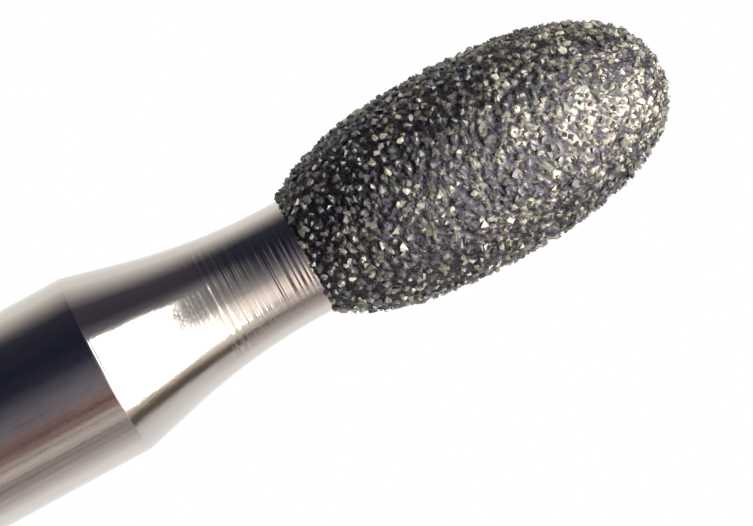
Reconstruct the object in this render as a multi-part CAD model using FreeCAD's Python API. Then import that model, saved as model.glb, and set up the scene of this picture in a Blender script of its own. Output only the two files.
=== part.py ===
# Dental bur for a friction-grip handpiece: one turned steel blank, made of a shank, a tapered neck
# and an egg-shaped head, and the coat of diamond grit that is plated onto the head in nickel.
# The bur stands on +Z with its head up. The origin is the centre of the shank's tail face.
import FreeCAD, Part
import math
import os
import random

# Driving sizes, in millimetres and degrees
overall_length = 19.0       # tail face to the tip of the head
shank_diameter = 1.60       # friction-grip shank
tail_chamfer = 0.20         # 45 degree chamfer on the tail, which leads the shank into a chuck
shoulder_round = 0.10       # radius that breaks the edge where the shank turns into the taper
taper_angle = 14.35         # half angle of the cone behind the neck
neck_sweep_radius = 5.22    # hollow arc that carries the cone into the neck
neck_diameter = 1.026
neck_land = 0.09            # straight neck that shows behind the head
head_diameter = 1.80        # over the tallest grains
head_length = 3.37          # back edge of the coat to the tip
belly_from_tip = 1.83       # tip to the widest section
egg_fullness = 2.34         # 2 is an ellipse, more is squarer shoulders
bond_thickness = 0.070      # nickel under the lowest points of the grit
grain_height = 0.050        # how far the tallest grains stand over those points
coat_edge = 0.040           # how far the coat's back edge stands over the neck
grain_pitch = 0.078         # spacing of the grain corners, along and round the head
grain_scatter = 0.35        # how far a corner strays from even spacing, as a share of the pitch

# Worked out from the driving sizes
shank_radius = shank_diameter / 2
neck_radius = neck_diameter / 2
coat_thickness = bond_thickness + grain_height
base_z = overall_length - head_length
belly_z = overall_length - belly_from_tip
belly_radius = head_diameter / 2

CORE_CUTS = 20              # short straight cuts that the core's curve is turned in
GRIT_SEED = 11              # fixes the scatter, so that every run gives the same coat
AXIS = FreeCAD.Vector(0, 0, 1)
ORIGIN = FreeCAD.Vector(0, 0, 0)


def point(radius, z, turn=0.0):
    """A point at that radius and height, turned about the axis."""
    return FreeCAD.Vector(radius * math.cos(turn), radius * math.sin(turn), z)


def egg_tail_length():
    """Length of the egg behind its belly, if it closed to a point. It is set so that the egg has
    come down to the coat's back edge where the head ends."""
    back_share = (neck_radius + coat_edge) / belly_radius
    cut_share = (1 - back_share**egg_fullness) ** (1 / egg_fullness)
    return (belly_z - base_z) / cut_share


def egg_section(angle, inset):
    """Radius and height on the egg, moved inwards. Angle 0 is the tip and pi/2 the belly. Each half
    is a superellipse: (radius / belly)^n + (distance from the belly / half length)^n = 1."""
    lengthwise = math.cos(angle)
    half_length = belly_from_tip if lengthwise >= 0 else egg_tail_length()
    power = 2 / egg_fullness
    radius = (belly_radius - inset) * abs(math.sin(angle)) ** power
    rise = (half_length - inset) * abs(lengthwise) ** power
    return radius, belly_z + math.copysign(rise, lengthwise)


def egg_angle_at_radius(radius, inset):
    """The angle behind the belly at which the egg has come down to that radius."""
    share = radius / (belly_radius - inset)
    return math.pi - math.asin(share ** (egg_fullness / 2))


def core_edges():
    """The head under its coat: the end of the neck, then the core's curve up to its tip. The coat
    thins towards its back edge, because the neck runs on under it."""
    start_angle = egg_angle_at_radius(neck_radius, coat_thickness)
    corners = [point(neck_radius, base_z)]
    for i in range(CORE_CUTS + 1):
        angle = start_angle * (1 - i / CORE_CUTS)
        corners.append(point(*egg_section(angle, coat_thickness)))
    return [Part.makeLine(start, end) for start, end in zip(corners, corners[1:])]


def rounded_corner(before, corner, after, radius):
    """Ends and middle of the arc that rounds a corner between two straight runs."""
    to_before = (before - corner).normalize()
    to_after = (after - corner).normalize()
    half_angle = to_before.getAngle(to_after) / 2
    reach = radius / math.tan(half_angle)
    inward = (to_before + to_after).normalize()
    centre = corner + inward * (radius / math.sin(half_angle))
    return corner + to_before * reach, centre - inward * radius, corner + to_after * reach


def steel_blank():
    """Shank, taper, neck and core: one piece of steel, turned about the axis."""
    slope = math.radians(taper_angle)
    land_z = base_z - neck_land
    sweep_z = land_z - neck_sweep_radius * math.sin(slope)
    sweep_radius = neck_radius + neck_sweep_radius * (1 - math.cos(slope))
    shoulder_z = sweep_z - (shank_radius - sweep_radius) / math.tan(slope)
    sweep_middle = point(
        neck_radius + neck_sweep_radius * (1 - math.cos(slope / 2)),
        land_z - neck_sweep_radius * math.sin(slope / 2),
    )
    tail_centre = point(0, 0)
    tail_edge = point(shank_radius - tail_chamfer, 0)
    chamfer_end = point(shank_radius, tail_chamfer)
    sweep_start = point(sweep_radius, sweep_z)
    land_start = point(neck_radius, land_z)
    shoulder = point(shank_radius, shoulder_z)
    shank_end, round_middle, cone_start = rounded_corner(
        chamfer_end, shoulder, sweep_start, shoulder_round
    )
    core = core_edges()
    core_tip = point(*egg_section(0, coat_thickness))
    outline = [
        Part.makeLine(tail_centre, tail_edge),
        Part.makeLine(tail_edge, chamfer_end),
        Part.makeLine(chamfer_end, shank_end),
        Part.Arc(shank_end, round_middle, cone_start).toShape(),
        Part.makeLine(cone_start, sweep_start),
        Part.Arc(sweep_start, sweep_middle, land_start).toShape(),
        Part.makeLine(land_start, point(neck_radius, base_z)),
        *core,
        Part.makeLine(core_tip, tail_centre),
    ]
    return Part.Face(Part.Wire(outline)).revolve(ORIGIN, AXIS, 360)


def egg_stations():
    """Angles, from tip to back edge, that lie one row of grain corners apart along the egg."""
    back_angle = egg_angle_at_radius(neck_radius + coat_edge, 0)
    steps = 2000
    travelled = [0.0]
    for i in range(steps):
        here = point(*egg_section(back_angle * i / steps, 0))
        there = point(*egg_section(back_angle * (i + 1) / steps, 0))
        travelled.append(travelled[-1] + here.distanceToPoint(there))
    row_gap = grain_pitch * math.sin(math.radians(60))
    rows = max(3, round(travelled[-1] / row_gap))
    stations = []
    i = 0
    for row in range(1, rows + 1):
        while travelled[i] < travelled[-1] * row / rows and i < steps:
            i += 1
        stations.append(back_angle * i / steps)
    return stations


def grain_rings():
    """Rings of grain corners, from tip to back edge. A corner strays round its ring, and lies
    somewhere between the top of the grains and the nickel. The back edge is left even."""
    scatter = random.Random(GRIT_SEED)
    rings = []
    stations = egg_stations()
    for angle in stations:
        even_radius = egg_section(angle, 0)[0]
        count = max(6, round(2 * math.pi * even_radius / grain_pitch))
        first = scatter.random()
        ring = []
        for k in range(count):
            stray = grain_scatter * (scatter.random() - 0.5)
            sunk = grain_height * scatter.random()
            turn = 2 * math.pi * (k + first + stray) / count
            if angle == stations[-1]:
                ring.append((turn, point(even_radius, base_z, turn)))
            else:
                ring.append((turn, point(*egg_section(angle, sunk), turn)))
        rings.append(ring)
    return rings


def zip_rings(upper, lower):
    """Triangles between two rings, which may have different numbers of corners: each step takes
    the ring whose next corner comes first round the axis."""
    full_turn = 2 * math.pi
    start = upper[0][0]
    offsets = [(turn - start + math.pi) % full_turn - math.pi for turn, _ in lower]
    nearest = min(range(len(lower)), key=lambda k: abs(offsets[k]))
    lower_turns = [offsets[nearest]]
    for k in range(1, len(lower) + 1):
        step = lower[(nearest + k) % len(lower)][0] - lower[(nearest + k - 1) % len(lower)][0]
        lower_turns.append(lower_turns[-1] + step % full_turn)
    upper_turns = [turn - start for turn, _ in upper] + [full_turn]
    triangles = []
    i = 0
    j = 0
    while i < len(upper) or j < len(lower):
        here_up = upper[i % len(upper)][1]
        here_low = lower[(nearest + j) % len(lower)][1]
        if j == len(lower) or (i < len(upper) and upper_turns[i + 1] <= lower_turns[j + 1]):
            i += 1
            triangles.append((here_up, here_low, upper[i % len(upper)][1]))
        else:
            j += 1
            triangles.append((here_up, here_low, lower[(nearest + j) % len(lower)][1]))
    return triangles


def flat_face(corners):
    """A flat face inside a closed run of corners."""
    return Part.Face(Part.makePolygon([*corners, corners[0]]))


def diamond_coat():
    """The plated grit: facets outside, a flat ring at the back edge, and inside the surface of the
    core and of the neck's end, which it is plated onto."""
    rings = grain_rings()
    tip = point(0, overall_length)
    first = rings[0]
    facets = []
    for k in range(len(first)):
        facets.append((tip, first[k][1], first[(k + 1) % len(first)][1]))
    for upper, lower in zip(rings, rings[1:]):
        facets.extend(zip_rings(upper, lower))
    skin = [flat_face(facet) for facet in facets]
    rim = Part.makePolygon([corner for _, corner in rings[-1]] + [rings[-1][0][1]])
    neck_hole = Part.Wire(Part.makeCircle(neck_radius, point(0, base_z), AXIS))
    back_ring = Part.makeFace([rim, neck_hole], "Part::FaceMakerBullseye").reversed()
    bore = Part.Wire(core_edges()).revolve(ORIGIN, AXIS, 360).reversed()
    shell = Part.makeShell([*skin, back_ring, *bore.Faces])
    shell.sewShape()
    print("grit facets", len(skin))
    return Part.makeSolid(shell)


def main():
    os.makedirs("parts", exist_ok=True)
    pieces = {"steel_blank": steel_blank(), "diamond_coat": diamond_coat()}
    for name, shape in pieces.items():
        shape.exportStep(f"parts/{name}.step")
        print(name, "valid", shape.isValid(), "volume", round(shape.Volume, 4), "faces", len(shape.Faces))


main()
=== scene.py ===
# %% [markdown]
# # A diamond bur, dressed for its picture
#
# A dental bur is a small thing: a steel pin, 1.6 mm thick, that a drill's chuck grips, and a head
# that is coated in diamond grit. The solids come packed from the CAD step, in metres, with the bur
# standing along +Z and its tail at the origin. They are the frame, and nothing in it moves.
# The lesson covers the fine surfaces that such a picture shows: tool marks on the turned neck,
# nickel that creeps up round each grain, and 2,600 small crystals.

# %% Load the solids and keep their box
import math

import bmesh
import bpy
import numpy as np
from mathutils import Matrix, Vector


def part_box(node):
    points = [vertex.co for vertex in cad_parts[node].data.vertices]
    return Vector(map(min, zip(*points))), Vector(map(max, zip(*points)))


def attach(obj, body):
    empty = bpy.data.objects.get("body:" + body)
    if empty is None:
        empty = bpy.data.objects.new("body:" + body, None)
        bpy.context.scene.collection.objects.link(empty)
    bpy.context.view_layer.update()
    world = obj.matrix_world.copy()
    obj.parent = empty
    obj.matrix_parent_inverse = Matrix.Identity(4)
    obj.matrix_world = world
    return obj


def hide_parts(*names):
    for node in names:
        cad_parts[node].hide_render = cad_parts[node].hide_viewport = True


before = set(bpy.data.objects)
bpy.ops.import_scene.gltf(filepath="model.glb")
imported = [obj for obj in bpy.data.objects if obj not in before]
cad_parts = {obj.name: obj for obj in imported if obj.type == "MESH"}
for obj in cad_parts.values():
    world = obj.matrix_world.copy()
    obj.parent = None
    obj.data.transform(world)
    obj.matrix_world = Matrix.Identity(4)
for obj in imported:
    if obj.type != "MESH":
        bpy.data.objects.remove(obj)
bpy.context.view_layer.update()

MM = 0.001


# %% [markdown]
# ## The sizes that the surfaces follow
#
# A surface that stands for a solid has to lie where the solid lies. The head's ends and width
# could be read from its box, but the taper and the hollow sweep of the neck could not. So this
# cell repeats the few sizes that the blank was turned to, and the two boxes are compared with
# them. The sizes are in millimetres, because nobody thinks of a bur in metres.

# %% Sizes in millimetres
SHANK_R, TAIL_CHAMFER, SHOULDER_ROUND = 0.80, 0.20, 0.10
TAPER = math.radians(14.35)
SWEEP_R, NECK_R, NECK_LAND = 5.22, 0.513, 0.09
TIP_Z, HEAD_LENGTH, HEAD_R = 19.0, 3.37, 0.90
BELLY_FROM_TIP, FULLNESS, COAT_EDGE = 1.83, 2.34, 0.040
BASE_Z = TIP_Z - HEAD_LENGTH
BELLY_Z = TIP_Z - BELLY_FROM_TIP
BACK_SHARE = (NECK_R + COAT_EDGE) / HEAD_R
TAIL_HALF = (BELLY_Z - BASE_Z) / (1 - BACK_SHARE**FULLNESS) ** (1 / FULLNESS)

steel_box, coat_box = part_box("steel_blank"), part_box("diamond_coat")
print("shank radius", SHANK_R, "solid", round(steel_box[1].x / MM, 4))
print("head radius", HEAD_R, "solid", round(coat_box[1].x / MM, 4))
print("head from", BASE_Z, "to", TIP_Z, "solid", [round(c.z / MM, 4) for c in coat_box])

# %% [markdown]
# ## From an array to a mesh
#
# Every piece here is worked out as whole arrays, so one helper is enough to turn points and faces
# into a Blender mesh. `foreach_set` copies an array in one go, which is far quicker than adding
# vertices one at a time. A round piece is a profile that is carried about the axis. A pole, which
# is one point on the axis, closes each end without a pinhole.

# %% Mesh helpers
def mesh_piece(name, points, face_groups, smooth=True):
    """A mesh object at the origin, from points in millimetres and a list of face arrays. All the
    faces in one array have the same number of corners."""
    corners = np.concatenate([g.ravel() for g in face_groups])
    totals = np.concatenate([np.full(len(g), g.shape[1]) for g in face_groups])
    mesh = bpy.data.meshes.new(name)
    mesh.vertices.add(len(points))
    mesh.vertices.foreach_set("co", (points * MM).astype(np.float32).ravel())
    mesh.loops.add(len(corners))
    mesh.loops.foreach_set("vertex_index", corners.astype(np.int32))
    mesh.polygons.add(len(totals))
    mesh.polygons.foreach_set("loop_start", (np.cumsum(totals) - totals).astype(np.int32))
    mesh.polygons.foreach_set("use_smooth", np.full(len(totals), smooth))
    mesh.update(calc_edges=True)
    mesh.validate()
    piece = bpy.data.objects.new(name, mesh)
    bpy.context.scene.collection.objects.link(piece)
    return piece


def keep_value(piece, name, values):
    """Keeps one value per point in an attribute, for a material to read."""
    attribute = piece.data.attributes.new(name, "FLOAT", "POINT")
    attribute.data.foreach_set("value", values.astype(np.float32))


def even_turns(count):
    """Angles of evenly spaced places round the axis: 2 pi k / count."""
    return 2 * np.pi * np.arange(count) / count


def all_round(values, columns):
    """One row per value, with the same value in every column."""
    return np.repeat(values[:, None], columns, axis=1)


def turned_grid(radius, z):
    """Points and faces of a turned surface, from arrays with a row per ring and a column per
    turn. Row i and column k give the point (radius cos turn, radius sin turn, z), with
    turn = 2 pi k / columns. A pole closes each end."""
    rings, columns = radius.shape
    turn = even_turns(columns)
    grid = np.stack([radius * np.cos(turn), radius * np.sin(turn), z], axis=-1)
    poles = np.array([[0, 0, z[0].mean()], [0, 0, z[-1].mean()]])
    points = np.concatenate([grid.reshape(-1, 3), poles])
    row, column = np.meshgrid(np.arange(rings - 1), np.arange(columns), indexing="ij")
    here, aside = row * columns + column, row * columns + (column + 1) % columns
    quads = np.stack([here, aside, aside + columns, here + columns], axis=-1).reshape(-1, 4)
    place = np.arange(columns)
    following = (place + 1) % columns
    last_ring = (rings - 1) * columns
    first_pole, last_pole = len(points) - 2, len(points) - 1
    fans = np.concatenate([
        np.stack([np.full(columns, first_pole), following, place], axis=-1),
        np.stack([np.full(columns, last_pole), last_ring + place, last_ring + following], axis=-1),
    ])
    return points, [quads, fans]


print("mesh helpers ready")

# %% [markdown]
# ## The egg that the grit follows
#
# Both the nickel and the crystals lie on the same egg. It is a superellipse, turned about the
# axis: like an ellipse, but with a power a little over 2, which gives it fuller shoulders.
# Steps of equal angle would crowd rows at the tip. So the curve's length and area are added up
# once, in small steps, and rows are then spaced evenly along the curve, or by equal area, as
# seeds are spread over a field.

# %% The egg
def egg(angle, inset):
    """Radius and height on the egg: (radius / belly)^n + (rise / half length)^n = 1, with the
    angle 0 at the tip and pi/2 at the belly. inset moves the curve inwards."""
    lengthwise = np.cos(angle)
    half = np.where(lengthwise >= 0, BELLY_FROM_TIP, TAIL_HALF)
    radius = (HEAD_R - inset) * np.abs(np.sin(angle)) ** (2 / FULLNESS)
    rise = (half - inset) * np.abs(lengthwise) ** (2 / FULLNESS)
    return radius, BELLY_Z + np.sign(lengthwise) * rise


def angle_behind_belly(radius, inset):
    """The angle behind the belly at which the egg has come down to that radius:
    pi - arcsin((radius / belly)^(n / 2))."""
    return math.pi - math.asin((radius / (HEAD_R - inset)) ** (FULLNESS / 2))


def outward(angle):
    """The egg's outward direction as (share away from the axis, share along it), from the
    difference between two points close together."""
    close = 1e-4
    r0, z0 = egg(angle - close, 0.0)
    r1, z1 = egg(angle + close, 0.0)
    length = np.hypot(r1 - r0, z1 - z0)
    return (z0 - z1) / length, (r1 - r0) / length


print("egg radius at the belly", float(egg(math.pi / 2, 0.0)[0]), "height", BELLY_Z)

# %% Length and area along the egg
CURVE_POINTS = 6001
fine_angle = np.linspace(0.0, angle_behind_belly(NECK_R + COAT_EDGE, 0.0), CURVE_POINTS)
fine_r, fine_z = egg(fine_angle, 0.0)
fine_step = np.hypot(np.diff(fine_r), np.diff(fine_z))
fine_length = np.concatenate([[0], np.cumsum(fine_step)])
fine_area = np.concatenate([[0], np.cumsum(np.pi * (fine_r[1:] + fine_r[:-1]) * fine_step)])
print("egg curve", round(fine_length[-1], 3), "mm long, area", round(fine_area[-1], 2), "mm2")

# %% [markdown]
# ## The blank: ground shank, turned neck
#
# The shank is ground, so it is smooth. The taper and the neck are turned, and a lathe tool leaves
# fine ridges. Here they are three sets of random rings, about 0.03, 0.02 and 0.01 mm apart, each
# under a thousandth of a millimetre high. They are faint on the taper and strongest just behind
# the head. That is enough to smear a lamp's reflection into the thin streaks that a close picture
# shows. The widest of them cover several pixels, so they are real waves in the surface and not a
# bump map. The tool also leaves a faint groove where the taper starts.

# %% The blank's profile
LAND_Z = BASE_Z - NECK_LAND
SWEEP_Z = LAND_Z - SWEEP_R * math.sin(TAPER)
SWEEP_EDGE = NECK_R + SWEEP_R * (1 - math.cos(TAPER))
SHOULDER_Z = SWEEP_Z - (SHANK_R - SWEEP_EDGE) / math.tan(TAPER)


def blank_radius(z):
    """Radius of the steel at height z, in millimetres. From the tail: a 45 degree chamfer, the
    shank, a small round, a cone, and an arc that runs out into the straight neck:
    radius = neck + sweep (1 - cos a), where sin a = (land - z) / sweep."""
    along = np.clip((LAND_Z - z) / SWEEP_R, 0, math.sin(TAPER))
    arc = NECK_R + SWEEP_R * (1 - np.sqrt(1 - along**2))
    cone = SWEEP_EDGE + (SWEEP_Z - z) * math.tan(TAPER)
    body = np.where(z > SWEEP_Z, arc, cone)
    reach = SHOULDER_ROUND * math.tan(TAPER / 2)
    inset = np.clip(z - (SHOULDER_Z - reach), 0, None)
    rounded = SHANK_R - SHOULDER_ROUND + np.sqrt(np.clip(SHOULDER_ROUND**2 - inset**2, 0, None))
    body = np.where(z < SHOULDER_Z + reach * math.cos(TAPER), rounded, body)
    body = np.where(z < SHOULDER_Z - reach, SHANK_R, body)
    return np.minimum(body, SHANK_R - TAIL_CHAMFER + z)


print("taper from", round(SHOULDER_Z, 3), "mm, sweep from", round(SWEEP_Z, 3), "mm")

# %% Waves that a tool leaves
def smooth_step(x, low, high):
    """0 below low, 1 above high, and 3 s^2 - 2 s^3 between, where s is the share of the way."""
    s = np.clip((x - low) / (high - low), 0, 1)
    return s * s * (3 - 2 * s)


def wavy_lines(z, turn, pitch, seed):
    """Heights of about -1 to 1 of the ridges that a tool leaves. Each line of the pitch along z
    has a random value, which is blended smoothly to the next and swells slowly round the axis:
    value (1 + 0.6 (a cos(turn + phase) + b cos(2 turn + phase)))."""
    rng = np.random.default_rng(seed)
    count = int((z.max() - z.min()) / pitch) + 3
    value = rng.uniform(-1, 1, count)
    swell = rng.uniform(0.2, 0.9, (2, count))
    phase = rng.uniform(0, 2 * np.pi, (2, count))
    place = (z - z.min()) / pitch
    line = np.floor(place).astype(int)
    share = smooth_step(place - line, 0, 1)

    def at(index):
        swing = sum(swell[k][index] * np.cos((k + 1) * turn + phase[k][index]) for k in (0, 1))
        return value[index] * (1 + 0.6 * swing)

    return (1 - share) * at(line) + share * at(line + 1)


print("tool waves ready")

# %% Rows of the blank
# The rows lie wide apart on the shank, closer on its round and the cone, and closest on the neck.
ROUND_Z, CONE_Z, FINE_Z = 13.72, 13.80, 14.40
ROW_GAP = 0.02
FINE_UNDER_COAT, NECK_UNDER_COAT = 0.03, 0.15       # how far the neck runs on under the coat
STEEL_COLUMNS = 140
rows_z = np.concatenate([
    [0.0, TAIL_CHAMFER / 2, TAIL_CHAMFER],
    np.linspace(TAIL_CHAMFER + ROW_GAP, ROUND_Z - ROW_GAP, 24),
    np.linspace(ROUND_Z, CONE_Z, 24)[:-1],
    np.linspace(CONE_Z, FINE_Z, 60)[:-1],
    np.linspace(FINE_Z, BASE_Z + FINE_UNDER_COAT, 420),
    [BASE_Z + NECK_UNDER_COAT],
])
zz, tt = np.meshgrid(rows_z, even_turns(STEEL_COLUMNS), indexing="ij")
print("rows", len(rows_z), "columns", STEEL_COLUMNS)

# %% Ridges and groove
# Pitch, height, extra height near the head, share that the taper has of them, and seed.
RIDGE_SETS = (
    (0.031, 0.00030, 0.00000, 0.00, 33),
    (0.019, 0.00034, 0.00010, 0.15, 34),
    (0.012, 0.00035, 0.00012, 0.00, 35),
)
RIDGE_SINK, TAPER_SINK_SHARE = 0.0034, 0.25         # keeps them under the solid's surface
GROOVE_DEPTH, GROOVE_HALF_WIDTH, GROOVE_PAST_SHOULDER = 0.0006, 0.008, 0.012
# The ridges grow from nothing to full strength between these heights.
TAPER_GROWS, NECK_GROWS, HEAD_GROWS = (13.82, 13.95), (14.45, 15.15), (14.9, 15.4)
on_taper = smooth_step(zz, *TAPER_GROWS)
on_neck = smooth_step(zz, *NECK_GROWS)
at_head = smooth_step(zz, *HEAD_GROWS)
ridges = np.zeros_like(zz)
for pitch, height, extra, taper_share, seed in RIDGE_SETS:
    spread = taper_share * on_taper + (1 - taper_share) * on_neck
    ridges += (height + extra * at_head) * spread * wavy_lines(zz, tt, pitch, seed)
print("ridges from lowest to highest, mm", round(float(np.ptp(ridges)), 5))
ridges -= RIDGE_SINK * np.maximum(on_neck, TAPER_SINK_SHARE * on_taper)
from_groove = (zz - SHOULDER_Z - GROOVE_PAST_SHOULDER) / GROOVE_HALF_WIDTH
groove = -GROOVE_DEPTH * np.exp(-(from_groove**2))
steel_r = blank_radius(zz) + ridges + groove

# %% Build the blank
CORE_INSET, CORE_TIP_ANGLE, CORE_ROWS = 0.12, 0.02, 24
core_angle = np.linspace(angle_behind_belly(NECK_R, CORE_INSET), CORE_TIP_ANGLE, CORE_ROWS)
core_r, core_z = egg(core_angle, CORE_INSET)
blank_r = np.concatenate([steel_r, all_round(core_r, STEEL_COLUMNS)])
blank_z = np.concatenate([zz, all_round(core_z, STEEL_COLUMNS)])
steel = mesh_piece("steel", *turned_grid(blank_r, blank_z))
steel.data.set_sharp_from_angle(angle=math.radians(30))
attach(steel, "root")
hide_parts("steel_blank")
print("steel", len(steel.data.polygons), "faces")

# %% [markdown]
# ## Where the grains sit
#
# Grit is sieved to one size and sprinkled, so it lies close but without a pattern. A golden-angle
# spiral spreads points evenly over a turned shape: point i goes where i / N of the area is used
# up, turned on by 137.5 degrees from the last. A random shove of up to half the spacing then
# hides the spiral. Each point remembers how wide its grain is and how deep it is sunk.

# %% Scatter the grains
GRAINS = 2600
SHOVE = 0.50                            # as a share of the spacing
NARROWEST, WIDEST = 0.75, 1.30          # as shares of the spacing
LEAST_SUNK, SUNK_RANGE = 0.006, 0.022
TIP_MARGIN, EDGE_MARGIN = 0.010, 0.012
rng = np.random.default_rng(21)
order = np.arange(GRAINS) + 0.5
spacing = math.sqrt(fine_area[-1] / GRAINS)
site_angle = np.interp(order / GRAINS * fine_area[-1], fine_area, fine_angle)
along_shove = rng.uniform(-SHOVE, SHOVE, GRAINS) * spacing
site_length = np.interp(site_angle, fine_angle, fine_length) + along_shove
site_length = np.clip(site_length, TIP_MARGIN, fine_length[-1] - EDGE_MARGIN)
site_angle = np.interp(site_length, fine_length, fine_angle)
site_r, site_z = egg(site_angle, 0.0)
site_turn = order * math.pi * (3 - math.sqrt(5))
round_shove = rng.uniform(-SHOVE, SHOVE, GRAINS) * spacing
site_turn = site_turn + round_shove / np.maximum(site_r, spacing)
grain_width = rng.uniform(NARROWEST, WIDEST, GRAINS) * spacing
grain_sunk = LEAST_SUNK + SUNK_RANGE * rng.beta(1.4, 1.4, GRAINS)
away, up = outward(site_angle)
site_out = np.stack([away * np.cos(site_turn), away * np.sin(site_turn), up], axis=-1)
site = np.stack([site_r * np.cos(site_turn), site_r * np.sin(site_turn), site_z], axis=-1)
print(GRAINS, "grains,", round(spacing, 4), "mm apart")

# %% [markdown]
# ## The nickel between the grains
#
# The bath lays nickel on everything that conducts. It wets each crystal a little way up, so the
# metal between them is not flat: it is a skin of small hollows and hills. That is worked out as a
# depth under the egg: low ground, a hill at each grain whose height falls with the distance from
# it, and a fine pebbling on top. The distances are taken from places that a few random waves have
# moved, so that no hill is round. The hills get a painted shine at their tops, which is weaker at
# the back and grows towards the tip as a painted glare, and the gaps and pebble pits get painted
# shade. How bright the hills are also drifts slowly over the head, as the bath left it. The
# attribute `rise` carries that painted light and shade to the material.

# %% Distances and drift
def nearest_two(places, centres, block=3000):
    """Distances from each place to its nearest and second nearest centre, and which centre is
    the nearest, a block at a time: distance^2 = place^2 - 2 place . centre + centre^2."""
    best = np.empty((len(places), 2), np.float32)
    which = np.empty(len(places), int)
    centres = centres.astype(np.float32)
    squares = (centres**2).sum(1)
    for start in range(0, len(places), block):
        part = places[start:start + block]
        away2 = (part**2).sum(1)[:, None] - 2 * part @ centres.T + squares
        best[start:start + block] = np.partition(away2, 1, axis=1)[:, :2]
        which[start:start + block] = away2.argmin(axis=1)
    return np.sqrt(np.clip(best, 0, None)), which


def wander(places, reach, seed):
    """Places moved by four random waves, reach / 2 * sin(wave . place + phase), which are about
    as long as a grain. Distances measured from the moved places give hills that aren't round."""
    rng = np.random.default_rng(seed)
    moved = places.astype(np.float64)
    for _ in range(4):
        wave = rng.normal(0, 45, (3, 3))
        moved += reach / 2 * np.sin(places @ wave + rng.uniform(0, 2 * np.pi, 3))
    return moved.astype(np.float32)


def drift(places, seed):
    """A value of about -1 to 1 that drifts slowly over the head: the sum of six random waves,
    sin(wave . place + phase), each about half a millimetre long, divided by 3."""
    rng = np.random.default_rng(seed)
    wave = rng.normal(0, 9, (3, 6))
    return np.sin(places @ wave + rng.uniform(0, 2 * np.pi, 6)).sum(axis=1) / 3


site_drift = drift(site, 31)
print("drift over the grains", round(site_drift.min(), 2), "to", round(site_drift.max(), 2))

# %% Nickel surface
BOND_ROWS, BOND_COLUMNS = 270, 320
FIRST_ROW = 0.012                       # from the tip, along the curve
GROUND_DEPTH, HILL_HEIGHT, PEBBLE_HEIGHT = 0.050, 0.018, 0.006
LOWEST_HILL = 0.25                      # as a share of the highest
WANDER, HILL_FROM, HILL_TO, GAP_TO = 0.20, 0.20, 0.75, 0.35         # as shares of the spacing
BACK_SHINE, EXTRA_TIP_SHINE, SHINE_DRIFT, PEBBLE_SHADE = 0.42, 0.86, 0.40, 0.1
# Between these heights the painted glare on the hills grows towards the tip.
GLARE_GROWS_FROM, GLARE_GROWS_TO = BASE_Z + 1.3, BASE_Z + 2.5
row_length = np.linspace(FIRST_ROW, fine_length[-1], BOND_ROWS)
row_angle = np.interp(row_length, fine_length, fine_angle)
bond_turn = even_turns(BOND_COLUMNS)
aa, bt = np.meshgrid(row_angle, bond_turn, indexing="ij")
er, ez = egg(aa, 0.0)
ground = np.stack([er * np.cos(bt), er * np.sin(bt), ez], axis=-1)
ground = ground.reshape(-1, 3).astype(np.float32)
near, owner = nearest_two(wander(ground, WANDER * spacing, 12), site)
rng = np.random.default_rng(5)
climb = rng.uniform(LOWEST_HILL, 1.0, GRAINS)[owner]
bright = (rng.beta(0.8, 1.0, GRAINS) * (1 + SHINE_DRIFT * site_drift))[owner]
pebble = rng.uniform(-1, 1, len(ground))
hill = 1 - smooth_step(near[:, 0] / spacing, HILL_FROM, HILL_TO)
gap = smooth_step((near[:, 1] - near[:, 0]) / spacing, 0.0, GAP_TO)
# Painted glare: the hills' painted shine, weaker at the back and growing towards the tip.
painted_glare = BACK_SHINE + EXTRA_TIP_SHINE * smooth_step(ground[:, 2], GLARE_GROWS_FROM, GLARE_GROWS_TO)
hill_height = HILL_HEIGHT * climb * hill * (0.5 + 0.5 * gap)
bond_inset = (GROUND_DEPTH - hill_height + PEBBLE_HEIGHT * pebble).reshape(aa.shape)
# Painted light and shade: a painted shine on the hill tops, painted shade in gaps and pebble pits.
rise = hill * (0.4 + 0.6 * gap) * bright * painted_glare - PEBBLE_SHADE * pebble
rise = rise.clip(0, 1).reshape(aa.shape)
bond_away, bond_up = outward(aa)
bond_r = er - bond_inset * bond_away
bond_z = ez - bond_inset * bond_up
print("nickel grid", aa.shape, "height range in mm", round(float(np.ptp(bond_inset)), 4))

# %% Build the nickel
# The plating ends in a ragged edge, a little narrower than the egg, whose lip turns in to the
# neck. Inside, its wall lies just off the core, so that the two surfaces don't mix.
RAG_MIDDLE, RAG_REACH, RAG_WAVES = 0.022, 0.020, range(5, 60, 3)
EDGE_NARROWED, EDGE_ZONE, EDGE_ROW_SPREAD = 0.985, 0.12, 0.002
LIP_WIDTH, LIP_BITE, LIP_RISE, WALL_GAP = 0.012, 0.001, 0.004, 0.001
rng = np.random.default_rng(6)
rag = sum(
    rng.uniform(0.3, 1.0) * np.cos(n * bond_turn + rng.uniform(0, 6.28))
    for n in RAG_WAVES
)
rag = BASE_Z + RAG_MIDDLE + RAG_REACH * rag / np.abs(rag).max()
edge_share = smooth_step(bond_z, BASE_Z, BASE_Z + EDGE_ZONE)
row_order = np.arange(BOND_ROWS)[::-1, None] / BOND_ROWS
bond_z = np.maximum(bond_z, rag + EDGE_ROW_SPREAD * row_order)
outer_r = bond_r * (edge_share + (1 - edge_share) * EDGE_NARROWED)
back_r = all_round(np.array([NECK_R + LIP_WIDTH, NECK_R - LIP_BITE]), BOND_COLUMNS)
back_z = np.stack([rag, rag + LIP_RISE])
wall_r, wall_z = (all_round(v, BOND_COLUMNS) for v in egg(core_angle, CORE_INSET - WALL_GAP))
all_r = np.concatenate([outer_r, back_r, wall_r])[::-1]
all_z = np.concatenate([bond_z, back_z, wall_z])[::-1]
nickel = mesh_piece("nickel_bond", *turned_grid(all_r, all_z))
inner_points = (len(all_r) - BOND_ROWS) * BOND_COLUMNS
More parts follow.
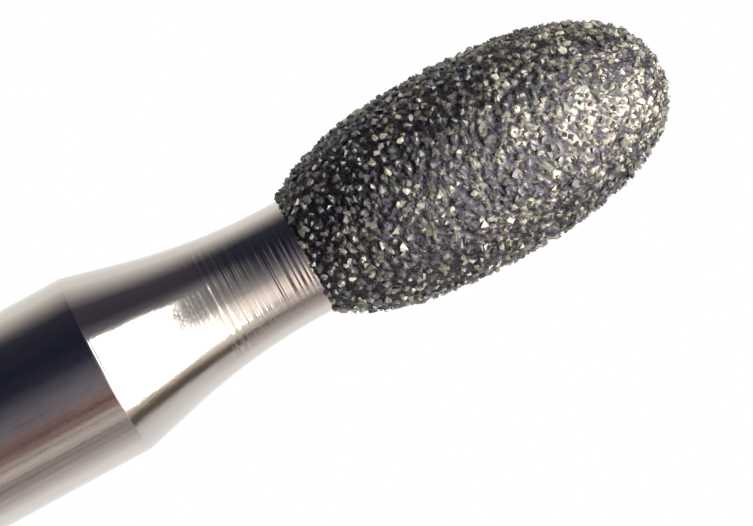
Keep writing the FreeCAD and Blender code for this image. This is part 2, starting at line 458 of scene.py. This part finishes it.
inner_pole, tip_pole = 0.0, 0.5
painted_light_values = [np.zeros(inner_points), rise[::-1].ravel(), [inner_pole, tip_pole]]
keep_value(nickel, "rise", np.concatenate(painted_light_values))
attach(nickel, "root")
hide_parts("diamond_coat")
print("nickel", len(nickel.data.polygons), "faces")

# %% [markdown]
# ## The crystals
#
# Crushed diamond breaks into blocky chips with flat faces and sharp corners. Fourteen different
# chips, each the convex hull of nine random points, turned and sized at random, look endless.
# A chip has at most 14 triangles, because it is repeated hundreds of times. All the chips of one
# kind are placed together: one array product turns every corner of every copy.

# %% Make the chips
KINDS, CHIP_POINTS, FIRST_CHIP_SEED = 14, 9, 100
INNERMOST, SLIMMEST = 0.85, 0.78


def chip(seed):
    """Corners and triangles of one crushed chip: the hull of random points, 0.85 to 1 from the
    middle, made up to 22% slimmer along each axis."""
    rng = np.random.default_rng(seed)
    points = rng.normal(size=(CHIP_POINTS, 3))
    points = points / np.linalg.norm(points, axis=1)[:, None]
    points = points * rng.uniform(INNERMOST, 1.0, (CHIP_POINTS, 1))
    points = points * rng.uniform(SLIMMEST, 1.0, 3)
    shape = bmesh.new()
    for p in points:
        shape.verts.new(p)
    bmesh.ops.convex_hull(shape, input=shape.verts)
    inside = [v for v in shape.verts if not v.link_faces]
    bmesh.ops.delete(shape, geom=inside, context="VERTS")
    bmesh.ops.triangulate(shape, faces=shape.faces)
    bmesh.ops.recalc_face_normals(shape, faces=shape.faces)
    shape.verts.index_update()
    corners = np.array([v.co for v in shape.verts])
    triangles = np.array([[v.index for v in f.verts] for f in shape.faces])
    shape.free()
    return corners, triangles


def random_turns(count, rng):
    """Rotation matrices from random unit quaternions."""
    q = rng.normal(size=(count, 4))
    w, x, y, z = (q / np.linalg.norm(q, axis=1)[:, None]).T
    rows = [
        [1 - 2 * (y * y + z * z), 2 * (x * y - z * w), 2 * (x * z + y * w)],
        [2 * (x * y + z * w), 1 - 2 * (x * x + z * z), 2 * (y * z - x * w)],
        [2 * (x * z - y * w), 2 * (y * z + x * w), 1 - 2 * (x * x + y * y)],
    ]
    return np.stack([np.stack(r, axis=-1) for r in rows], axis=-2)


chips = [chip(FIRST_CHIP_SEED + k) for k in range(KINDS)]
print("chip faces", [len(t) for _, t in chips])

# %% Place the crystals
# A crystal hangs from the egg by its outermost corner, and is then sunk by its own depth.
PAST_BASE, UNDER_TIP, TONE_DRIFT = 0.015, 0.001, 0.15
rng = np.random.default_rng(8)
kind = rng.integers(0, KINDS, GRAINS)
tone = np.clip(rng.uniform(0, 1, GRAINS) + TONE_DRIFT * site_drift, 0, 1)
all_points, all_faces, all_tones = [], [], []
count = 0
for k, (corners, triangles) in enumerate(chips):
    mine = np.flatnonzero(kind == k)
    turned = np.einsum("nij,vj->nvi", random_turns(len(mine), rng), corners)
    turned = turned * (grain_width[mine] / 2)[:, None, None]
    top = np.einsum("nvi,ni->nv", turned, site_out[mine]).max(axis=1)
    centre = site[mine] - site_out[mine] * (top + grain_sunk[mine])[:, None]
    all_points.append((centre[:, None, :] + turned).reshape(-1, 3))
    starts = count + np.arange(len(mine)) * len(corners)
    all_faces.append((triangles[None] + starts[:, None, None]).reshape(-1, 3))
    all_tones.append(np.repeat(tone[mine], len(corners)))
    count += len(mine) * len(corners)
points = np.concatenate(all_points)
points[:, 2] = np.clip(points[:, 2], BASE_Z - PAST_BASE, TIP_Z - UNDER_TIP)
grains = mesh_piece("diamond_grains", points, [np.concatenate(all_faces)], smooth=False)
keep_value(grains, "tone", np.concatenate(all_tones))
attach(grains, "root")
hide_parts("diamond_coat")
print("crystals", len(grains.data.polygons), "faces")

# %% [markdown]
# ## Materials
#
# All three finishes need uneven, natural variation, so one node group makes it: two sizes of
# noise on Object coordinates, mixed, and stretched from a low to a high value. Each material
# places the group with its own sizes. Object coordinates stay with the bur when it moves.
# The helpers below take a node tree, add one node to it and return its output, so that a material
# reads like a short formula.

# %% Node helpers
def feed(tree, value, socket):
    """Sets a socket to a number or a colour, or links it to another node's output."""
    if isinstance(value, bpy.types.NodeSocket):
        tree.links.new(value, socket)
    else:
        socket.default_value = (*value, 1) if isinstance(value, tuple) else value


def math_node(tree, operation, *values):
    """A Math node. Each value is a number or another node's output."""
    node = tree.nodes.new("ShaderNodeMath")
    node.operation = operation
    for value, socket in zip(values, node.inputs):
        feed(tree, value, socket)
    return node.outputs[0]


def blend_colours(tree, factor, low, high, blend="MIX"):
    """A colour from low to high as the factor goes from 0 to 1. Each end is three numbers, or
    another node's output. With the blend MULTIPLY it goes from low to low times high."""
    mix = tree.nodes.new("ShaderNodeMix")
    mix.data_type = "RGBA"
    mix.blend_type = blend
    for name, value in (("Factor", factor), ("A", low), ("B", high)):
        feed(tree, value, mix.inputs[name])
    return mix.outputs["Result"]


def colour_ramp(tree, factor, stops):
    """A colour that follows the factor through the stops, each (position, colour)."""
    ramp = tree.nodes.new("ShaderNodeValToRGB")
    elements = ramp.color_ramp.elements
    for end in (0, -1):
        elements[end].position = stops[end][0]
        elements[end].color = (*stops[end][1], 1)
    for position, colour in stops[1:-1]:
        elements.new(position).color = (*colour, 1)
    tree.links.new(factor, ramp.inputs["Fac"])
    return ramp.outputs["Color"]


def kept_value(tree, name):
    """The value that each point of the piece keeps under that name."""
    node = tree.nodes.new("ShaderNodeAttribute")
    node.attribute_name = name
    return node.outputs["Fac"]


def bump(tree, shader, height, distance_mm, strength):
    """A Bump node between a height and the shader's normal."""
    node = tree.nodes.new("ShaderNodeBump")
    node.inputs["Distance"].default_value = distance_mm * MM
    node.inputs["Strength"].default_value = strength
    tree.links.new(height, node.inputs["Height"])
    tree.links.new(node.outputs["Normal"], shader.inputs["Normal"])


print("node helpers ready")

# %% A shared group for uneven surfaces
def make_uneven():
    """Group: Value = low + (high - low) * (0.7 noise + 0.3 noise that is 5.3 times as fine), with
    the noise spread from its usual range, 0.3 to 0.7."""
    group = bpy.data.node_groups.new("uneven_surface", "ShaderNodeTree")
    for name, kind, default in (
        ("Stretch", "NodeSocketVector", (1, 1, 1)),
        ("Scale", "NodeSocketFloat", 1000.0),
        ("Low", "NodeSocketFloat", 0.0),
        ("High", "NodeSocketFloat", 1.0),
    ):
        socket = group.interface.new_socket(name, in_out="INPUT", socket_type=kind)
        socket.default_value = default
    group.interface.new_socket("Value", in_out="OUTPUT", socket_type="NodeSocketFloat")
    nodes, links = group.nodes, group.links
    start, end = nodes.new("NodeGroupInput"), nodes.new("NodeGroupOutput")
    place = nodes.new("ShaderNodeTexCoord")
    stretched = nodes.new("ShaderNodeVectorMath")
    stretched.operation = "MULTIPLY"
    links.new(place.outputs["Object"], stretched.inputs[0])
    links.new(start.outputs["Stretch"], stretched.inputs[1])
    coarse_scale = start.outputs["Scale"]
    fine_scale = math_node(group, "MULTIPLY", coarse_scale, 5.3)
    mix = nodes.new("ShaderNodeMix")
    mix.inputs["Factor"].default_value = 0.3
    for socket, scale, detail in (("A", coarse_scale, 3.0), ("B", fine_scale, 2.0)):
        noise = nodes.new("ShaderNodeTexNoise")
        noise.inputs["Detail"].default_value = detail
        links.new(stretched.outputs[0], noise.inputs["Vector"])
        links.new(scale, noise.inputs["Scale"])
        links.new(noise.outputs["Fac"], mix.inputs[socket])
    spread = nodes.new("ShaderNodeMapRange")
    spread.inputs["From Min"].default_value = 0.3
    spread.inputs["From Max"].default_value = 0.7
    links.new(mix.outputs["Result"], spread.inputs["Value"])
    links.new(start.outputs["Low"], spread.inputs["To Min"])
    links.new(start.outputs["High"], spread.inputs["To Max"])
    links.new(spread.outputs["Result"], end.inputs["Value"])
    return group


UNEVEN = make_uneven()


def uneven(tree, scale, low, high, stretch=(1, 1, 1)):
    """One use of the shared group, and its output."""
    node = tree.nodes.new("ShaderNodeGroup")
    node.node_tree = UNEVEN
    node.inputs["Stretch"].default_value = stretch
    node.inputs["Scale"].default_value = scale
    node.inputs["Low"].default_value = low
    node.inputs["High"].default_value = high
    return node.outputs["Value"]


def new_material(piece, name, **constants):
    """Gives the piece a material with one Principled shader, whose named sockets take the
    constants. Returns the material's node tree and the shader."""
    material = bpy.data.materials.new(name)
    material.use_nodes = True
    piece.data.materials.append(material)
    tree = material.node_tree
    shader = tree.nodes["Principled BSDF"]
    for socket, value in constants.items():
        shader.inputs[socket].default_value = value
    print(piece.name, "has the material", name)
    return tree, shader


print("shared group", UNEVEN.name)

# %% [markdown]
# ### Steel
#
# Bur steel is a hard stainless steel, warm grey and bright. A polished metal has little colour of
# its own: nearly all that shows is what it reflects. So the base colour varies only slightly, as
# faint smudges, and an uneven roughness blurs the reflections a little. A ripple far thinner than
# a hair keeps the edge of a reflected lamp from looking ruled.

# %% Steel material
tree, shader = new_material(steel, "turned_steel", Metallic=1.0)
smudge = uneven(tree, 1400, 0, 1, (1, 1, 0.35))
colour = blend_colours(tree, smudge, (0.66, 0.635, 0.61), (0.72, 0.70, 0.68))
ripple = uneven(tree, 10000, 0, 1, (1, 1, 0.55))
tree.links.new(colour, shader.inputs["Base Color"])
tree.links.new(uneven(tree, 2600, 0.075, 0.165, (1, 1, 0.4)), shader.inputs["Roughness"])
bump(tree, shader, ripple, 0.0005, 1.0)

# %% [markdown]
# ### Nickel and diamond
#
# The nickel is painted dark in the hollows, as the shade where light is lost between the grains,
# and painted bright where it climbs, as a painted shine. Its tint drifts from greenish to pinkish.
# The plating is pebbled, so it is half matt.
# The diamonds are clear to yellowish, but on a bur they look like dark glass: light that enters
# them is lost in the metal behind, and only their faces shine. Each grain gets a tone of its own
# from an attribute, from blue-grey through smoky violet and olive to a few that are nearly white.

# %% Nickel material
# The darkest colour is painted shade for the hollows between the grains.
GREENISH, PINKISH, PAINTED_HOLLOW_SHADE = (0.76, 0.82, 0.62), (0.90, 0.73, 0.68), (0.054, 0.053, 0.070)
tree, shader = new_material(nickel, "plated_nickel", Metallic=1.0)
patch = uneven(tree, 13000, 0.45, 1.0)
# Painted shine on the hill tops, from the painted light and shade in rise, broken up at random.
painted_shine = math_node(tree, "MULTIPLY", kept_value(tree, "rise"), patch)
tint = blend_colours(tree, uneven(tree, 5200, 0, 1), GREENISH, PINKISH)
tree.links.new(blend_colours(tree, painted_shine, PAINTED_HOLLOW_SHADE, tint), shader.inputs["Base Color"])
tree.links.new(uneven(tree, 16000, 0.18, 0.38), shader.inputs["Roughness"])
bump(tree, shader, uneven(tree, 38000, 0, 1), 0.006, 0.9)

# %% Diamond material
TONES = (
    (0.00, (0.042, 0.044, 0.062)),
    (0.25, (0.046, 0.058, 0.056)),
    (0.42, (0.064, 0.050, 0.070)),
    (0.58, (0.070, 0.080, 0.058)),
    (0.72, (0.100, 0.080, 0.060)),
    (0.86, (0.120, 0.124, 0.092)),
    (0.95, (0.190, 0.186, 0.140)),
    (1.00, (0.340, 0.325, 0.265)),
)
tree, shader = new_material(grains, "diamond", Metallic=0.0, IOR=1.95)
colour = colour_ramp(tree, kept_value(tree, "tone"), TONES)
tree.links.new(colour, shader.inputs["Base Color"])
tree.links.new(uneven(tree, 12000, 0.24, 0.52), shader.inputs["Roughness"])
bump(tree, shader, uneven(tree, 24000, 0, 1), 0.004, 0.7)

# %% [markdown]
# ## The floor
#
# The bur stands on a plain pale floor, a round disc that lies within the lamps' light. It is
# outside the close view, and it gives the other views something to stand on. The steel doesn't
# reflect it, because in such a picture there is white below as well.

# %% Floor
FLOOR_R, FLOOR_SIDES = 30.0, 96
side = even_turns(FLOOR_SIDES)
rim = np.stack([FLOOR_R * np.cos(side), FLOOR_R * np.sin(side), np.zeros(FLOOR_SIDES)], axis=-1)
floor = mesh_piece("floor", rim, [np.arange(FLOOR_SIDES)[None]])
tree, shader = new_material(floor, "pale_floor", Roughness=0.7)
colour = blend_colours(tree, uneven(tree, 60, 0, 1), (0.80, 0.80, 0.79), (0.84, 0.84, 0.83))
tree.links.new(colour, shader.inputs["Base Color"])
floor.visible_glossy = False
print("floor radius in mm", FLOOR_R)

# %% [markdown]
# ## Light
#
# Metal shows its surroundings, so the surroundings are part of the picture. Behind the bur all is
# white, as on a light table, and that lights its two edges. In front the room is dark, and the
# shank's middle is nearly black. The world carries this as rings of colour round the bur's axis.
# A direction has two numbers: how far round the axis it lies, with 0 towards the camera, and how
# high. Its height on a ball of radius 1 is the sine of its elevation.

# %% Directions in the world
world = bpy.data.worlds.new("studio")
bpy.context.scene.world = world
world.use_nodes = True
tree = world.node_tree
tree.nodes.clear()
place = tree.nodes.new("ShaderNodeTexCoord")
split = tree.nodes.new("ShaderNodeSeparateXYZ")
tree.links.new(place.outputs["Generated"], split.inputs[0])
height = split.outputs["Z"]
to_camera = math_node(tree, "MULTIPLY", split.outputs["Y"], -1.0)
around = math_node(tree, "ARCTAN2", split.outputs["X"], to_camera)
share_round = math_node(tree, "MULTIPLY_ADD", around, 1 / (2 * math.pi), 0.5)


def ring_of_colours(stops):
    """A colour that changes round the axis, from -180 to 180 degrees. Each stop is (degrees,
    colour)."""
    return colour_ramp(tree, share_round, [((a + 180) / 360, colour) for a, colour in stops])


def share_of_way(value, start, end, kind="SMOOTHSTEP"):
    """0 before the start, 1 after the end, and the share of the way between."""
    node = tree.nodes.new("ShaderNodeMapRange")
    node.interpolation_type = kind
    node.inputs["From Min"].default_value = start
    node.inputs["From Max"].default_value = end
    tree.links.new(value, node.inputs["Value"])
    return node.outputs["Result"]


def above(low_deg, high_deg):
    """0 below the lower elevation, 1 above the higher one, and eased between."""
    return share_of_way(height, math.sin(math.radians(low_deg)), math.sin(math.radians(high_deg)))


print("world:", world.name)

# %% [markdown]
# ### Two rings and a glow
#
# The ring `level` is what the shank reflects, with fine streaks in it. The ring `raised` is what
# the taper reflects, because it leans towards the tip. A glow where the two meet brightens the
# neck, and light from overhead the tip. Matt surfaces get one even fill, and the camera sees
# white.

# %% What the shank and the taper reflect
level = ring_of_colours((
    (-180, (0.97, 0.97, 0.97)), (-150, (0.90, 0.88, 0.85)), (-125, (0.82, 0.78, 0.72)),
    (-114, (0.58, 0.53, 0.49)), (-105, (0.39, 0.355, 0.34)), (-93, (0.150, 0.138, 0.140)),
    (-82, (0.028, 0.029, 0.044)), (-40, (0.012, 0.014, 0.030)), (-18, (0.022, 0.022, 0.045)),
    (-8, (0.07, 0.065, 0.09)), (6, (0.13, 0.12, 0.15)), (24, (0.18, 0.15, 0.17)),
    (32, (0.17, 0.10, 0.095)), (46, (0.19, 0.11, 0.10)), (54, (0.40, 0.33, 0.31)),
    (68, (0.52, 0.45, 0.42)), (82, (0.29, 0.24, 0.225)), (94, (0.42, 0.36, 0.34)),
    (112, (0.66, 0.60, 0.57)), (128, (0.92, 0.87, 0.84)), (180, (0.97, 0.97, 0.97)),
))
raised = ring_of_colours((
    (-180, (0.97, 0.97, 0.97)), (-150, (0.92, 0.90, 0.88)), (-125, (0.85, 0.81, 0.76)),
    (-114, (0.62, 0.57, 0.53)), (-105, (0.45, 0.41, 0.39)), (-93, (0.21, 0.185, 0.185)),
    (-82, (0.060, 0.052, 0.066)), (-56, (0.042, 0.038, 0.052)), (-44, (0.11, 0.10, 0.12)),
    (-37, (0.17, 0.168, 0.18)), (8, (0.14, 0.135, 0.14)), (28, (0.42, 0.40, 0.38)),
    (64, (0.90, 0.84, 0.74)), (72, (0.46, 0.39, 0.31)), (79, (0.145, 0.112, 0.086)),
    (90, (0.11, 0.085, 0.067)), (98, (0.62, 0.58, 0.56)), (118, (0.84, 0.81, 0.79)),
    (150, (0.96, 0.96, 0.95)), (180, (0.97, 0.97, 0.97)),
))
print("two rings of colour")

# %% Streaks in the shank's reflections
# The shank is a straight mirror, which shows only a narrow band of heights. So noise that changes
# round the axis shows on it as streaks along its length, on the side where it is full strength.
STREAKS_ROUND, STREAKS_ALONG, STREAK_STRENGTH = 11.0, 14.0, 3.2
STREAK_SIDE, FULL_WITHIN, NONE_BEYOND = 55, 25, 60      # degrees
spot = tree.nodes.new("ShaderNodeCombineXYZ")
tree.links.new(math_node(tree, "MULTIPLY", around, STREAKS_ROUND), spot.inputs["X"])
tree.links.new(math_node(tree, "MULTIPLY", height, STREAKS_ALONG), spot.inputs["Y"])
noise = tree.nodes.new("ShaderNodeTexNoise")
noise.inputs["Scale"].default_value = 1.0
noise.inputs["Detail"].default_value = 4.0
tree.links.new(spot.outputs[0], noise.inputs["Vector"])
from_side = math_node(tree, "SUBTRACT", around, math.radians(STREAK_SIDE))
from_side = math_node(tree, "ABSOLUTE", from_side)
ends = math.radians(NONE_BEYOND), math.radians(FULL_WITHIN)
amount = share_of_way(from_side, *ends, "LINEAR")
swing = math_node(
    tree, "MULTIPLY_ADD", noise.outputs["Fac"], STREAK_STRENGTH, -0.5 * STREAK_STRENGTH
)
streak = math_node(tree, "MULTIPLY_ADD", swing, amount, 1.0)
streaked = blend_colours(tree, 1.0, level, streak, "MULTIPLY")
print("streaks round", STREAK_SIDE, "degrees")

# %% Put the surroundings together
WARM_WHITE = (1.0, 0.96, 0.88)
GLOW, FILL, WHITE = (1.25, 1.10, 0.98), (0.40, 0.41, 0.46), (1, 1, 1)
glow_stops = (
    (-180, 0), (-50, 0), (-25, 0.04), (-5, 0.10), (10, 0.24), (24, 0.72), (34, 1), (46, 1),
    (57, 0.40), (74, 0.15), (81, 0), (180, 0),
)
glow_side = ring_of_colours([(a, (grey, grey, grey)) for a, grey in glow_stops])
glow = math_node(tree, "MULTIPLY", glow_side, above(-2.6, 3.5))
ray = tree.nodes.new("ShaderNodeLightPath")
seen = blend_colours(tree, above(5, 13), streaked, raised)
seen = blend_colours(tree, glow, seen, GLOW)
seen = blend_colours(tree, above(52, 72), seen, WARM_WHITE)
seen = blend_colours(tree, ray.outputs["Is Diffuse Ray"], seen, FILL)
seen = blend_colours(tree, ray.outputs["Is Camera Ray"], seen, WHITE)
background = tree.nodes.new("ShaderNodeBackground")
output = tree.nodes.new("ShaderNodeOutputWorld")
tree.links.new(seen, background.inputs["Color"])
tree.links.new(background.outputs["Background"], output.inputs["Surface"])
print("world nodes", len(tree.nodes))

# %% [markdown]
# ### Lamps
#
# Two lamps stand above the tip, towards the camera: a long soft one that whitens the taper, and a
# small hot one that gives the head its glare. A lamp is placed by the direction in which the neck
# sees it, and its power follows from how bright a mirror would show it.

# %% Soft lamps
def soft_lamp(name, around_deg, raised_deg, roll_deg, distance_mm, size_mm, brightness):
    """A rectangular lamp that faces the neck. Its brightness is what a mirror would show of it,
    with 1 as white: power = brightness * pi * area. roll turns it about the way it faces."""
    a, e = math.radians(around_deg), math.radians(raised_deg)
    away = np.array([math.sin(a) * math.cos(e), -math.cos(a) * math.cos(e), math.sin(e)])
    lamp = bpy.data.lights.new(name, "AREA")
    lamp.shape = "RECTANGLE"
    lamp.size, lamp.size_y = size_mm[0] * MM, size_mm[1] * MM
    lamp.energy = brightness * math.pi * lamp.size * lamp.size_y
    lamp.color = WARM_WHITE
    holder = bpy.data.objects.new(name, lamp)
    bpy.context.scene.collection.objects.link(holder)
    holder.location = (np.array([0, 0, BASE_Z]) + away * distance_mm) * MM
    side = np.array([math.cos(a), math.sin(a), 0])
    over = np.cross(away, side)
    c, r = math.cos(math.radians(roll_deg)), math.sin(math.radians(roll_deg))
    facing = np.stack([side * c + over * r, over * c - side * r, away], axis=1)
    holder.rotation_mode = "QUATERNION"
    holder.rotation_quaternion = Matrix(facing.tolist()).to_quaternion()
    holder.visible_camera = False
    print(name, "power", lamp.energy, "W")


soft_lamp("long_soft_lamp", around_deg=20, raised_deg=51, roll_deg=-11, distance_mm=42,
          size_mm=(92, 54), brightness=3.5)
soft_lamp("small_hot_lamp", around_deg=30, raised_deg=30, roll_deg=0, distance_mm=60,
          size_mm=(26, 18), brightness=22.0)

# %% [markdown]
# ## Camera
#
# The picture was taken square to the axis, from far away for such a small thing, so a long lens
# on the -Y side does it. The bur crosses the frame at 28.5 degrees, which is only the camera's
# roll. The frame is 6.24 mm wide, because the 1.6 mm shank covers 193 of its 753 pixels.

# %% Camera
LENS, SENSOR = 200.0, 36.0
FRAME_MM = 6.2417
AIM_X, AIM_Z = 0.339, BASE_Z + 0.4995       # the middle of the picture, in millimetres
CAMERA_ROLL = math.radians(28.5)
CLIP_NEAR, CLIP_FAR = 0.5, 2000
lens_data = bpy.data.cameras.new("close_view")
lens_data.lens, lens_data.sensor_width = LENS, SENSOR
lens_data.clip_start, lens_data.clip_end = CLIP_NEAR * MM, CLIP_FAR * MM
distance = FRAME_MM * LENS / SENSOR
camera = bpy.data.objects.new("close_view", lens_data)
bpy.context.scene.collection.objects.link(camera)
right = np.array([math.sin(CAMERA_ROLL), 0, math.cos(CAMERA_ROLL)])
upward = np.array([-math.cos(CAMERA_ROLL), 0, math.sin(CAMERA_ROLL)])
back = np.array([0, -1.0, 0])
camera.matrix_world = Matrix(np.stack([right, upward, back], axis=1).tolist()).to_4x4()
camera.location = np.array([AIM_X, -distance, AIM_Z]) * MM
bpy.context.scene.camera = camera
bpy.context.scene.view_settings.view_transform = "Standard"
print("camera distance in mm", round(distance, 2))
